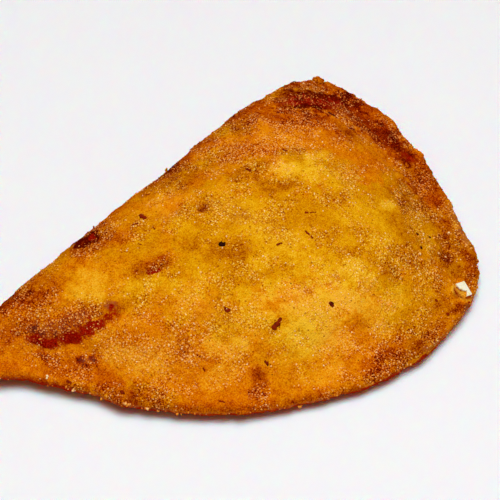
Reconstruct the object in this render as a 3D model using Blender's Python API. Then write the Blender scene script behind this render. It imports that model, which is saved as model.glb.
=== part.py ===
# Chicken empanada: a fried half-moon of corn dough, folded over its filling and sealed along the curved edge.
# Blender 4.5 script, metres, +Z up. The fold runs along X at +Y, the sealed edge curves round at -Y,
# the narrow corner is at -X and the blunt corner at +X. The underside rests at z = 0.

import math

import bmesh
import bpy
import numpy as np
from mathutils import Matrix, Vector

# Driving dimensions
MM = 0.001
THICKNESS = 23.5 * MM           # from the underside to the crest
CREST = (-3.0 * MM, 3.0 * MM)   # plan position of the crest, nearer the fold than the seal
RIM_WIDTH = 3.2 * MM            # pressed seal, from the foot of the filling to the edge
RIM_THICKNESS = 3.0 * MM
RIM_ROUNDING = 1.1 * MM         # how far the edge of the seal bulges out between its two faces
FOLD_MIDDLE = 10.0 * MM         # height of the outermost line of the fold, halfway along
FOLD_CORNER = {"narrow": 5.6 * MM, "blunt": 8.0 * MM}  # and at the two corners, where the fold is pinched
FOLD_BAND = 3.6 * MM            # height of the nearly upright strip along the fold
FOLD_ROUNDING = 0.7 * MM
FOLD_SHOULDER = 24.0 * MM       # from the fold to where the upper face is full
SEAL_SLOPE = 44.0 * MM          # from the rim to where the upper face is full
SEAL_FULLNESS = {"front": 1.8, "blunt corner": 1.4}  # 1 is a straight slope, more is a rounder one
RIM_FILLET = (-0.12, 0.3)       # part of that slope that eases out of the flat rim
CORNER_SHARE = {"narrow": 0.45, "blunt": 0.1}  # how much shorter shoulder and slope are at the two corners
CORNER_BLEND = 15.0 * MM        # length along the edge over which seal turns into fold
FLAT_SHARE = 0.55               # part of the underside, from its middle out, that lies flat
SEAM_DEPTH = 0.25 * MM          # groove between the two layers of dough round the seal

# Clearance under the seal: the edge nearest the front hangs low, the blunt end curls up
RIM_LIFT = {"narrow corner": 2.2 * MM, "front": 1.2 * MM, "blunt corner": 3.4 * MM}

# Plan of the dough, in millimetres, counterclockwise from the narrow corner
OUTLINE = (
    (-78.0, 24.5),  # narrow corner
    (-74.0, 18.5),
    (-68.5, 11.5),
    (-62.7, -2.8),
    (-56.5, -19.0),
    (-46.0, -33.5),
    (-31.5, -45.0),
    (-14.5, -53.5),
    (1.0, -55.8),   # deepest point of the seal
    (16.3, -53.4),
    (28.8, -45.8),
    (39.0, -33.2),
    (48.9, -19.8),
    (56.5, -5.0),
    (60.6, 8.5),
    (60.0, 19.0),   # blunt corner
    (51.2, 23.8),
    (36.0, 25.0),
    (0.0, 25.5),    # fold
    (-40.0, 25.5),
    (-68.0, 26.8),
)

# Places where the edge stands out or is bitten in, in millimetres: plan place, reach, distance outward
EDGE_MARKS = (
    (58.5, -2.5, 3.5, 0.8),     # small lobe of the seal near the blunt corner
    (-60.5, -8.5, 4.5, 0.9),    # and a wider one towards the narrow corner
    (36.5, -37.0, 4.0, -0.5),   # shallow notch where the lower layer shows
    (27.0, -47.5, 3.0, 0.7),    # torn flap, three teeth
    (23.0, -50.6, 2.2, 0.9),
    (19.0, -52.4, 2.2, 0.5),
)

# Mesh density
AROUND = 132
TOP_RINGS = 17
WALL_RINGS = 4
UNDER_RINGS = 14
SPLINE_STEPS = 24               # between two outline points, before the even resampling

# Uneven dough
EDGE_WOBBLE = 0.45 * MM
EDGE_WOBBLE_COUNT = 58          # nibbles counted once round the edge
LUMP_COUNT = 46
LUMP_HEIGHT = 1.0 * MM
LUMP_RADIUS = (5.0 * MM, 11.0 * MM)
LUMP_BAND = (0.25, 0.75)        # shares of the thickness between which the lumps fade in
SEED = 41

# Crumbs that stand clear of the crust, in millimetres: rough place, moved onto the surface, and radius
NAMED_CRUMBS = (
    (55.4, 20.2, 10.6, 1.4),    # double nub on top of the blunt corner
    (57.4, 18.6, 10.2, 1.2),
    (-47.6, -33.4, 2.6, 1.2),   # along the front of the seal
    (-58.8, -15.6, 3.0, 1.0),
    (-61.0, -10.8, 3.0, 1.0),
    (14.8, -52.7, 4.4, 1.7),    # crust that props up the pale flake
)
CRUMB_COUNT = 16                # more of them, anywhere round the edge
CRUMB_SIZE = (0.7 * MM, 1.2 * MM)
CRUMB_SINK = 0.55               # how deep a crumb sits, as a share of its radius
CRUMB_FLATNESS = 0.8
CRUMB_UNEVENNESS = 0.15

# Pale flake of dough, propped up on the rim near the deepest point of the seal
FLAKE_PLACE = (14.7 * MM, -53.0 * MM)
FLAKE_SIZE = (4.8 * MM, 3.0 * MM, 1.5 * MM)
FLAKE_RISE = 1.6 * MM           # height of its middle over the rim
FLAKE_TURN = math.radians(-89.0)
FLAKE_DIP = math.radians(33.0)
FLAKE_ROLL = math.radians(-14.0)
FLAKE_TAPER = 0.7               # length of its short side as a share of the long one
FLAKE_BEVEL = 0.25 * MM

CRUST_COLOUR = (0.46, 0.13, 0.012, 1.0)
CRUST_ROUGHNESS = 0.55


def clear_scene():
    for obj in list(bpy.data.objects):
        bpy.data.objects.remove(obj, do_unlink=True)


def crust_material():
    material = bpy.data.materials.new("fried_crust")
    material.use_nodes = True
    shader = material.node_tree.nodes["Principled BSDF"]
    shader.inputs["Base Color"].default_value = CRUST_COLOUR
    shader.inputs["Roughness"].default_value = CRUST_ROUGHNESS
    shader.inputs["Metallic"].default_value = 0.0
    return material


def smoothstep(low, high, value):
    share = np.clip((value - low) / (high - low), 0.0, 1.0)
    return share * share * (3.0 - 2.0 * share)


def closed_spline(points, samples):
    """Catmull-Rom curve through closed points, resampled at even distances."""
    points = np.asarray(points, float)
    steps = np.linspace(0.0, 1.0, SPLINE_STEPS, endpoint=False)[:, None]
    pieces = []
    for index in range(len(points)):
        before, start, end, after = (points[(index + k) % len(points)] for k in (-1, 0, 1, 2))
        pieces.append(0.5 * (
            2.0 * start
            + (end - before) * steps
            + (2.0 * before - 5.0 * start + 4.0 * end - after) * steps**2
            + (3.0 * start - before - 3.0 * end + after) * steps**3
        ))
    dense = np.concatenate(pieces + [pieces[0][:1]])
    travelled = np.concatenate([[0.0], np.cumsum(np.linalg.norm(np.diff(dense, axis=0), axis=1))])
    wanted = np.arange(samples) / samples * travelled[-1]
    return np.stack([np.interp(wanted, travelled, dense[:, axis]) for axis in (0, 1)], axis=1)


def ring_noise(count, samples, rng):
    """Smooth random values between -1 and 1 that close on themselves."""
    values = rng.uniform(-1.0, 1.0, count)
    place = np.arange(samples) / samples * count
    whole = place.astype(int)
    share = smoothstep(0.0, 1.0, place - whole)
    return values[whole % count] * (1.0 - share) + values[(whole + 1) % count] * share


def outline_frame(rng):
    """Edge points, outward directions and how much each point belongs to the seal (1) or the fold (0)."""
    edge = closed_spline(OUTLINE, AROUND) * MM
    along = np.roll(edge, -1, axis=0) - np.roll(edge, 1, axis=0)
    along /= np.linalg.norm(along, axis=1)[:, None]
    outward = np.stack([along[:, 1], -along[:, 0]], axis=1)
    fold_y = max(y for _, y in OUTLINE) * MM
    seal = smoothstep(0.0, CORNER_BLEND, fold_y - edge[:, 1])
    push = ring_noise(EDGE_WOBBLE_COUNT, AROUND, rng) * EDGE_WOBBLE * (0.45 + 0.55 * seal)
    for x, y, reach, distance in EDGE_MARKS:
        gap = np.linalg.norm(edge - np.array((x, y)) * MM, axis=1)
        push += distance * MM * np.exp(-((gap / (reach * MM)) ** 2))
    return edge + outward * push[:, None], outward, seal


def rim_lift(edge):
    """Clearance under the seal at each edge point, from the three named heights."""
    half = np.abs(edge[:, 0]).max()
    left = smoothstep(0.2, 1.0, -edge[:, 0] / half)
    right = smoothstep(0.2, 1.0, edge[:, 0] / half)
    front = RIM_LIFT["front"]
    return (
        front
        + (RIM_LIFT["narrow corner"] - front) * left
        + (RIM_LIFT["blunt corner"] - front) * right
    )


def fold_height(edge):
    """Height of the outermost line of the fold, falling towards both corners."""
    narrow = smoothstep(0.55, 1.0, edge[:, 0] / edge[:, 0].min())
    blunt = smoothstep(0.55, 1.0, edge[:, 0] / edge[:, 0].max())
    return (
        FOLD_MIDDLE
        + (FOLD_CORNER["narrow"] - FOLD_MIDDLE) * narrow
        + (FOLD_CORNER["blunt"] - FOLD_MIDDLE) * blunt
    )


def lumps(place, rng):
    """Low swellings where the filling presses up through the dough."""
    lift = np.zeros(len(place))
    low, high = place.min(axis=0), place.max(axis=0)
    for _ in range(LUMP_COUNT):
        centre = rng.uniform(low, high)
        radius = rng.uniform(*LUMP_RADIUS)
        height = rng.uniform(-0.8, 1.0) * LUMP_HEIGHT
        distance = np.linalg.norm(place - centre, axis=1)
        lift += height * np.exp(-((distance / radius) ** 2))
    return lift


def smooth_gap(place, edge, members):
    """Plan distance from each place to part of the edge, blended where two stretches are about as near."""
    step = np.linalg.norm(np.roll(edge, -1, axis=0) - edge, axis=1)
    chosen = members > 0.5
    gaps = np.linalg.norm(place[:, None, :] - edge[None, chosen, :], axis=2) + 0.01 * MM
    # A straight line of points has the sum step * gap**-6 = 3 pi / 8 * distance**-5
    total = (step[chosen] / gaps**6).sum(axis=1)
    return (total / (3.0 * math.pi / 8.0)) ** -0.2


def spread(place, edge, values):
    """Values known along the edge, carried smoothly inward by inverse distance."""
    gaps = np.linalg.norm(place[:, None, :] - edge[None, :, :], axis=2)
    weights = 1.0 / (gaps + 0.1 * MM) ** 3
    return (weights * values).sum(axis=1) / weights.sum(axis=1)


def top_height(place, edge, seal, top_edge):
    """The upper face: full over most of the plan, rounded at the fold and sloping down to a pressed rim."""
    from_seal = smooth_gap(place, edge, seal)
    from_fold = smooth_gap(place, edge, 1.0 - seal)
    narrow = smoothstep(0.3, 1.0, place[:, 0] / edge[:, 0].min())
    blunt = smoothstep(0.3, 1.0, place[:, 0] / edge[:, 0].max())
    shortened = 1.0 - CORNER_SHARE["narrow"] * narrow - CORNER_SHARE["blunt"] * blunt
    fullness = SEAL_FULLNESS["front"] + (SEAL_FULLNESS["blunt corner"] - SEAL_FULLNESS["front"]) * blunt
    slope = np.clip((from_seal - RIM_WIDTH) / (SEAL_SLOPE * shortened), 0.0, 1.0)
    shoulder = np.clip(from_fold / (FOLD_SHOULDER * shortened), 0.0, 1.0)
    seal_rise = (1.0 - (1.0 - slope) ** fullness) * smoothstep(*RIM_FILLET, slope)
    fold_rise = (1.0 - (1.0 - shoulder) ** 2) ** 0.5
    base = spread(place, edge, top_edge)
    return base + (THICKNESS - base) * seal_rise * fold_rise


def ring_rows(edge, outward, seal):
    """Plan place and height of every ring of the dough, from the crest to the middle of the underside."""
    crest = np.array(CREST)
    lift = rim_lift(edge)
    fold = fold_height(edge)
    under_edge = (fold - FOLD_BAND / 2) * (1.0 - seal) + lift * seal
    top_edge = (fold + FOLD_BAND / 2) * (1.0 - seal) + (lift + RIM_THICKNESS) * seal
    rounding = FOLD_ROUNDING * (1.0 - seal) + RIM_ROUNDING * seal

    rows = []
    for ring in range(1, TOP_RINGS + 1):
        share = math.sin(0.5 * math.pi * ring / TOP_RINGS) ** 1.15
        place = crest + (edge - crest) * share
        height = top_height(place, edge, seal, top_edge) if ring < TOP_RINGS else top_edge
        rows.append((place, height))
    for ring in range(1, WALL_RINGS + 1):
        share = ring / (WALL_RINGS + 1)
        bulge = rounding * math.sin(math.pi * share)
        if ring == WALL_RINGS // 2:
            bulge = bulge - SEAM_DEPTH * seal
        place = edge + outward * bulge[:, None]
        rows.append((place, top_edge + (under_edge - top_edge) * share))
    for ring in range(UNDER_RINGS, 0, -1):
        share = math.sin(0.5 * math.pi * ring / UNDER_RINGS) ** 1.1
        lifted = np.clip((share - FLAT_SHARE) / (1.0 - FLAT_SHARE), 0.0, 1.0)
        fold_drop = 1.0 - (1.0 - lifted**2) ** 0.5
        seal_drop = lifted**1.8
        drop = fold_drop * (1.0 - seal) + seal_drop * seal
        rows.append((crest + (edge - crest) * share, under_edge * drop))
    return rows


def dough_body(material, rng):
    """A UV sphere whose rings are laid along the outline, so that seal and fold follow its rows."""
    mesh = bpy.data.meshes.new("empanada")
    body = bmesh.new()
    rings = TOP_RINGS + WALL_RINGS + UNDER_RINGS
    bmesh.ops.create_uvsphere(body, u_segments=AROUND, v_segments=rings + 1, radius=1.0)

    edge, outward, seal = outline_frame(rng)
    rows = ring_rows(edge, outward, seal)
    for vert in body.verts:
        turn = math.atan2(vert.co.y, vert.co.x) / (2.0 * math.pi)
        column = round(turn * AROUND) % AROUND
        row = round(math.acos(max(-1.0, min(1.0, vert.co.z))) / math.pi * (rings + 1)) - 1
        if row < 0:
            vert.co = (*CREST, THICKNESS)
        elif row >= rings:
            vert.co = (*CREST, 0.0)
        else:
            place, height = rows[row]
            vert.co = (*place[column], height[column])

    place = np.array([vert.co[:] for vert in body.verts])
    lifts = lumps(place[:, :2], rng) * smoothstep(*LUMP_BAND, place[:, 2] / THICKNESS)
    for vert, lift in zip(body.verts, lifts):
        vert.co.z += lift
    bmesh.ops.recalc_face_normals(body, faces=body.faces)
    body.to_mesh(mesh)
    body.free()
    mesh.materials.append(material)
    return bpy.data.objects.new("empanada", mesh), edge, seal


def scene_collection(name):
    collection = bpy.data.collections.new(name)
    bpy.context.scene.collection.children.link(collection)
    return collection


def add_crumb(collection, body, near, size, rng):
    """A lumpy grain of crust, squashed and turned at random, half sunk in the nearest bit of surface."""
    _, foot, normal, _ = body.closest_point_on_mesh(Vector(near))
    centre = foot + normal * size * (1.0 - CRUMB_SINK)
    mesh = bpy.data.meshes.new("crumb")
    grain = bmesh.new()
    bmesh.ops.create_icosphere(grain, subdivisions=1, radius=1.0)
    for vert in grain.verts:
        vert.co *= rng.uniform(1.0 - CRUMB_UNEVENNESS, 1.0 + CRUMB_UNEVENNESS)
        vert.co.z *= CRUMB_FLATNESS
    turn = Matrix.Rotation(rng.uniform(0.0, math.tau), 4, Vector(rng.normal(size=3)).normalized())
    grain.transform(Matrix.Translation(centre) @ turn @ Matrix.Scale(size, 4))
    grain.to_mesh(mesh)
    grain.free()
    collection.objects.link(bpy.data.objects.new("crumb", mesh))


def add_flake(collection, height):
    """The pale flake: a thin bevelled chip, one corner drawn in, dipping outward over the rim."""
    mesh = bpy.data.meshes.new("flake")
    chip = bmesh.new()
    bmesh.ops.create_cube(chip, size=1.0)
    for vert in chip.verts:
        if vert.co.y < 0.0:
            vert.co.x *= FLAKE_TAPER
    stretch = Matrix.Diagonal((*FLAKE_SIZE, 1.0))
    turn = Matrix.Rotation(FLAKE_TURN, 4, "Z") @ Matrix.Rotation(FLAKE_DIP, 4, "Y")
    turn = turn @ Matrix.Rotation(FLAKE_ROLL, 4, "X")
    chip.transform(Matrix.Translation((*FLAKE_PLACE, height)) @ turn @ stretch)
    bmesh.ops.bevel(chip, geom=chip.edges, offset=FLAKE_BEVEL, segments=1, affect="EDGES")
    bmesh.ops.recalc_face_normals(chip, faces=chip.faces)
    chip.to_mesh(mesh)
    chip.free()
    collection.objects.link(bpy.data.objects.new("flake", mesh))


def fuse(body, collection):
    """One closed surface of the dough and everything stuck to it."""
    union = body.modifiers.new("stuck bits", "BOOLEAN")
    union.operation = "UNION"
    union.operand_type = "COLLECTION"
    union.collection = collection
    union.solver = "EXACT"
    bpy.context.view_layer.update()
    graph = bpy.context.evaluated_depsgraph_get()
    fused = bpy.data.meshes.new_from_object(body.evaluated_get(graph))
    body.modifiers.clear()
    body.data = fused
    for obj in list(collection.objects):
        bpy.data.objects.remove(obj, do_unlink=True)
    bpy.data.collections.remove(collection)


def surface_height(body, place):
    """Height of the top of the dough at a plan position."""
    hit, point, _, _ = body.ray_cast(Vector((*place, 2.0 * THICKNESS)), Vector((0.0, 0.0, -1.0)))
    return point.z if hit else 0.0


def centre_on_base(body):
    """Puts the origin at the middle of the plan and the underside on z = 0."""
    corners = np.array([vert.co[:] for vert in body.data.vertices])
    low, high = corners.min(axis=0), corners.max(axis=0)
    middle = (low + high) / 2.0
    body.data.transform(Matrix.Translation((-middle[0], -middle[1], -low[2])))
    print("origin moved by", [round(float(value) / MM, 3) for value in (*-middle[:2], -low[2])], "mm")


def main():
    clear_scene()
    rng = np.random.default_rng(SEED)
    model = scene_collection("chicken_empanada")
    stuck = scene_collection("stuck_bits")
    body, edge, seal = dough_body(crust_material(), rng)
    model.objects.link(body)

    bpy.context.view_layer.update()
    for x, y, z, radius in NAMED_CRUMBS:
        add_crumb(stuck, body, (x * MM, y * MM, z * MM), radius * MM, rng)
    lift = rim_lift(edge)
    for _ in range(CRUMB_COUNT):
        column = int(rng.integers(AROUND))
        height = (
            (lift[column] + rng.uniform(0.5, 1.0) * RIM_THICKNESS) * seal[column]
            + rng.uniform(0.8, 1.5) * FOLD_MIDDLE * (1.0 - seal[column])
        )
        add_crumb(stuck, body, (*edge[column], height), rng.uniform(*CRUMB_SIZE), rng)
    add_flake(stuck, surface_height(body, FLAKE_PLACE) + FLAKE_RISE)
    fuse(body, stuck)
    centre_on_base(body)
    body.data.shade_smooth()


main()
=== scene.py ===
import math
import random

import bmesh
import bpy
import numpy as np
from mathutils import Matrix, Vector, noise
from mathutils.bvhtree import BVHTree
from mathutils.kdtree import KDTree


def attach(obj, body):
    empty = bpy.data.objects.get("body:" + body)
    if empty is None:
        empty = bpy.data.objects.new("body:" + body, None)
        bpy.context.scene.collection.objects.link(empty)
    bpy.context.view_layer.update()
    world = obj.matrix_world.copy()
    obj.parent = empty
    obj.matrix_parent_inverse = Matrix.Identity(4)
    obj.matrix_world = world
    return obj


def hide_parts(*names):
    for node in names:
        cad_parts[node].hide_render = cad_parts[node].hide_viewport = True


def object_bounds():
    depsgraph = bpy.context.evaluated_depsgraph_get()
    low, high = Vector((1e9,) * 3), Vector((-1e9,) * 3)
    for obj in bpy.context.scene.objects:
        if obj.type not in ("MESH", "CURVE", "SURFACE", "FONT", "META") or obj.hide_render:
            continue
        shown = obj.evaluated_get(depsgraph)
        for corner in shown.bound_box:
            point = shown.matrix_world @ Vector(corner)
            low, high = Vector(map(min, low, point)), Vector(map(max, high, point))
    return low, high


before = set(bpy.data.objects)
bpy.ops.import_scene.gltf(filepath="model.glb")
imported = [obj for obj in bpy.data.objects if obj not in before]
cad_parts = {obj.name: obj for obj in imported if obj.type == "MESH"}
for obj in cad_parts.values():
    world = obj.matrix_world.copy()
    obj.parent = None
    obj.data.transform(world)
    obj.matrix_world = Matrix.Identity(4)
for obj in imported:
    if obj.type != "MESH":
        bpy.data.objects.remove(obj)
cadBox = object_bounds()
mm = 0.001

shot = {
    "turn": -52.93,              # degrees round the empanada, 0 looks along +Y
    "height": 42.0,              # degrees above the floor
    "distance": 462.5,
    "aim": (8.37, 14.67, 0.0),
    "pixels": 500.0,
    "focalPixels": 1850.0,
    "sensor": 36.0,
    "search": 80,                # how far along a ray that misses the nearest place is looked for
}


def makeCamera():
    turn, height = math.radians(shot["turn"]), math.radians(shot["height"])
    back = Vector((
        math.sin(turn) * math.cos(height),
        -math.cos(turn) * math.cos(height),
        math.sin(height),
    ))
    lens = bpy.data.cameras.new("studioCamera")
    lens.sensor_width = shot["sensor"]
    lens.lens = shot["sensor"] * shot["focalPixels"] / shot["pixels"]
    made = bpy.data.objects.new("studioCamera", lens)
    bpy.context.scene.collection.objects.link(made)
    made.location = (Vector(shot["aim"]) + back * shot["distance"]) * mm
    made.rotation_mode = "QUATERNION"
    made.rotation_quaternion = (-back).to_track_quat("-Z", "Y")
    bpy.context.scene.camera = made
    bpy.context.view_layer.update()
    print("camera:", round(lens.lens, 1), "mm lens,", shot["height"], "degrees above the floor")
    return made


camera = makeCamera()


def pixelRay(pixel):
    middle = shot["pixels"] / 2
    across, up = (pixel[0] - middle) / shot["focalPixels"], (middle - pixel[1]) / shot["focalPixels"]
    return (camera.matrix_world.to_3x3() @ Vector((across, up, -1.0))).normalized()


# where a photo pixel falls on a surface; a pixel just past the edge takes the nearest place
def pixelOn(surface, pixel):
    ray = pixelRay(pixel)
    place, normal, _, _ = surface.ray_cast(camera.location, ray)
    if place is None:
        middle = (Vector(shot["aim"]) * mm - camera.location).dot(ray)
        steps = range(-shot["search"], shot["search"] + 1)
        found = [surface.find_nearest(camera.location + ray * (middle + step * mm)) for step in steps]
        place, normal, _, _ = min(found, key=lambda near: near[3])
    return place, normal


# the photo pixels at which points show, as an array
def pixelsOf(points):
    inView = np.array(camera.matrix_world.inverted())
    seen = points @ inView[:3, :3].T + inView[:3, 3]
    middle, focal = shot["pixels"] / 2, shot["focalPixels"]
    across = middle - focal * seen[:, 0] / seen[:, 2]
    down = middle + focal * seen[:, 1] / seen[:, 2]
    return np.stack([across, down], axis=1)


# a photo-like colour, 0 to 255, as the linear colour that nodes take
def tone(red, green, blue):
    channels = [value / 255.0 for value in (red, green, blue)]
    return (*[c / 12.92 if c <= 0.04045 else ((c + 0.055) / 1.055) ** 2.4 for c in channels], 1.0)


# a node socket that can be used in sums
class Wire:
    def __init__(self, bench, socket):
        self.bench = bench
        self.socket = socket

    def maths(self, operation, first, second):
        return self.bench.node("ShaderNodeMath", {"operation": operation}, {0: first, 1: second})

    def __add__(self, other):
        return self.maths("ADD", self, other)

    def __radd__(self, other):
        return self.maths("ADD", other, self)

    def __sub__(self, other):
        return self.maths("SUBTRACT", self, other)

    def __rsub__(self, other):
        return self.maths("SUBTRACT", other, self)

    def __mul__(self, other):
        return self.maths("MULTIPLY", self, other)

    def __rmul__(self, other):
        return self.maths("MULTIPLY", other, self)


# builds the nodes of one tree: settings are set first, then each socket takes a value or a wire
class Bench:
    def __init__(self, tree):
        self.tree = tree

    def node(self, kind, settings=None, sockets=None, output=0):
        made = self.tree.nodes.new(kind)
        for name, value in (settings or {}).items():
            if name == "stops":
                self.fillRamp(made.color_ramp, value)
            else:
                setattr(made, name, value)
        for name, value in (sockets or {}).items():
            self.plug(made.inputs[name], value)
        return Wire(self, made.outputs[output]) if made.outputs else made

    def plug(self, socket, value):
        if isinstance(value, Wire):
            self.tree.links.new(value.socket, socket)
        else:
            socket.default_value = value

    def fillRamp(self, ramp, stops):
        while len(ramp.elements) < len(stops):
            ramp.elements.new(0.5)
        for element, (place, colour) in zip(ramp.elements, stops):
            element.position = place
            element.color = colour

    def blend(self, under, over, share):
        return self.node("ShaderNodeMix", {"data_type": "RGBA"}, {0: share, 6: under, 7: over}, 2)

    def rise(self, value, low, high):
        sockets = {"Value": value, "From Min": low, "From Max": high}
        return self.node("ShaderNodeMapRange", {"interpolation_type": "SMOOTHSTEP"}, sockets)

    def speckle(self, place, size, detail=2.0, roughness=0.5):
        sockets = {"Vector": place, "Scale": 1.0 / (size * mm), "Detail": detail, "Roughness": roughness}
        return self.node("ShaderNodeTexNoise", {}, sockets)

    def attribute(self, name):
        return self.node("ShaderNodeAttribute", {"attribute_name": name}, {}, "Fac")

    # a noise's colours as shifts either way, up to half the amount
    def shifts(self, colours, amount):
        even = self.node("ShaderNodeVectorMath", {"operation": "SUBTRACT"}, {0: colours, 1: (0.5, 0.5, 0.5)})
        return self.node("ShaderNodeVectorMath", {"operation": "SCALE"}, {0: even, "Scale": amount})

    # places bent by fine noise, which gives the cells made from them ragged borders
    def bent(self, place, size, amount):
        colours = self.node("ShaderNodeTexNoise", {}, {"Vector": place, "Scale": 1.0 / (size * mm)}, "Color")
        shift = self.shifts(colours, amount * mm)
        return self.node("ShaderNodeVectorMath", {"operation": "ADD"}, {0: place, 1: shift})

    # how far a place is from the middle of its cell, and a random value for each cell
    def cells(self, place, size):
        sockets = {"Vector": place, "Scale": 1.0 / (size * mm), "Randomness": 1.0}
        colours = self.node("ShaderNodeTexVoronoi", {}, sockets, "Color")
        return (self.node("ShaderNodeTexVoronoi", {}, sockets, "Distance"),
                self.node("ShaderNodeSeparateColor", {}, {0: colours}))


class Finish(Bench):
    def __init__(self, name, fixed):
        self.material = bpy.data.materials.new(name)
        self.material.use_nodes = True
        super().__init__(self.material.node_tree)
        self.shader = self.tree.nodes["Principled BSDF"]
        for socket, value in fixed.items():
            self.shader.inputs[socket].default_value = value
        self.place = self.node("ShaderNodeTexCoord", {}, {}, "Object")

    def coat(self, socket, value):
        self.plug(self.shader.inputs[socket], value)

    def emboss(self, height, depth, strength=1.0):
        sockets = {"Strength": strength, "Distance": depth * mm, "Height": height}
        self.coat("Normal", self.node("ShaderNodeBump", {}, sockets))


crustFinish = {
    "yellow": [  # from barely fried to scorched
        (0.00, tone(244, 186, 36)), (0.16, tone(233, 166, 8)), (0.36, tone(218, 142, 1)),
        (0.54, tone(198, 114, 0)), (0.72, tone(168, 80, 0)), (0.87, tone(134, 36, 0)), (1.00, tone(84, 6, 0)),
    ],
    "orange": [
        (0.00, tone(246, 174, 44)), (0.16, tone(238, 150, 12)), (0.36, tone(224, 124, 1)),
        (0.54, tone(202, 95, 0)), (0.72, tone(170, 62, 0)), (0.87, tone(138, 28, 0)), (1.00, tone(84, 4, 0)),
    ],
    "hueSize": 13.0, "hueFrom": (0.3, 0.7),            # where orange turns to yellow
    "cloudSize": 9.0, "cloud": 0.12,                   # patches of browning
    "mottleSize": 1.7, "mottle": 0.28,
    "grainSize": 0.34, "grain": 0.75,                  # single grains of corn
    "bareGrain": 0.7, "driftGrain": 0.6,               # how much of that bare dough has, and a drift adds
    "driftMottle": 1.1, "driftFrom": (0.15, 0.9),      # drifts of grit, broken up by the mottle
    "between": 0.05,                                   # how much browner the dough is in a drift
    "patchyFrom": (0.44, 0.62),                        # dough shows between the grains of red and plum places
    "red": tone(134, 4, 1), "redGrain": tone(170, 32, 4),
    "redMottle": 1.4, "redByGrain": 0.7, "redFrom": (0.3, 0.7),
    "plum": tone(118, 26, 8), "plumGrain": tone(198, 110, 70), "plumCover": 0.8,
    "pale": tone(240, 184, 60), "paleCover": 0.12,
    "warp": 0.5, "warpSize": 0.7,                      # how ragged the grains are, and its size in grains
    # pale corn grains, painted pale enough to stand in for their glints too, as the crust has no gloss
    "paleGrainSize": 0.56, "paleGrainEdge": (0.42, 0.26),
    "paleGrainPick": (0.6, 0.98), "paleGrainMore": 0.4,     # which cells are pale grains, and more in a drift
    "paleGrainBare": 0.1, "paleGrainDrift": 0.85,
    "paleGrainCover": 0.85, "coverPale": 0.1, "coverRed": 0.4,
    "yellowGrain": tone(255, 208, 90), "pinkGrain": tone(255, 186, 104), "brownGrain": tone(240, 146, 66),
    "pinkPale": 0.2, "pinkFrom": (0.62, 0.4), "brownRed": 0.4, "brownFrom": (0.55, 0.85),
    "darkGrain": tone(134, 44, 2), "darkGrainSize": 0.9, "darkGrainEdge": (0.4, 0.16),
    "darkGrainPick": (0.8, 0.99), "darkGrainCover": 0.65,
    # the side of the seal's edge: pale torn crumbs, and a painted rim highlight
    "lip": tone(214, 108, 32), "lipGrainAndSheen": tone(250, 178, 112), "lipAndSheenCover": 0.75,
    "wall": tone(178, 34, 2), "footShadeCover": 0.85,       # painted shade: the seal's foot, darker red where it faces down
    "relief": 0.2, "reliefSize": 0.34,                 # bump of the finest grains
    "gritRelief": 0.7, "mottleRelief": 0.6,
    "roughness": 0.42, "glossyGrain": 0.16, "roughRed": 0.1, "gloss": 0.0,
}


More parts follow.
